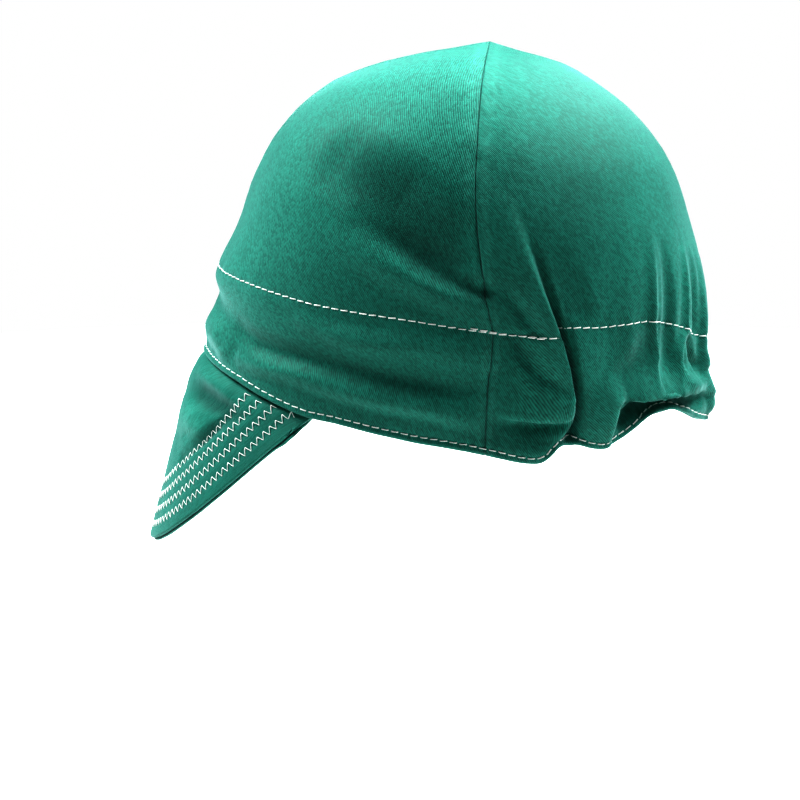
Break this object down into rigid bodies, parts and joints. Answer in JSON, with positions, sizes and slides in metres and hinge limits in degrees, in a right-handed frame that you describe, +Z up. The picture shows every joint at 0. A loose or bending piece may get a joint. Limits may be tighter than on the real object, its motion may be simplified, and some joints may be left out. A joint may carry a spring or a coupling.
{
  "type": "welding cap",
  "caption": "Soft cotton welder's cap with a four-panel crown, an inner band facing and a short drooping two-ply peak, in its worn shape.",
  "frame": {"origin": "inside of the crown's top, where the wearer's head carries the cap", "axes": "+Z up, the peak points to -Y, the wearer's left is +X"},
  "size_m": [0.1756, 0.2371, 0.2057],
  "materials": {
    "crown_cloth": "green cotton sateen with a fine twill and a soft sheen",
    "facing_cloth": "the same cloth, folded inside the band, matt",
    "peak_cloth": "the same cloth over a soft interlining, quilted along the rim"
  },
  "bodies": {
    "root": {"crown_front_left": "crown_cloth", "crown_front_right": "crown_cloth", "crown_rear_left": "crown_cloth", "crown_rear_right": "crown_cloth", "band_facing": "facing_cloth", "peak_upper_ply": "peak_cloth", "peak_lower_ply": "peak_cloth"}
  },
  "joints": []
}
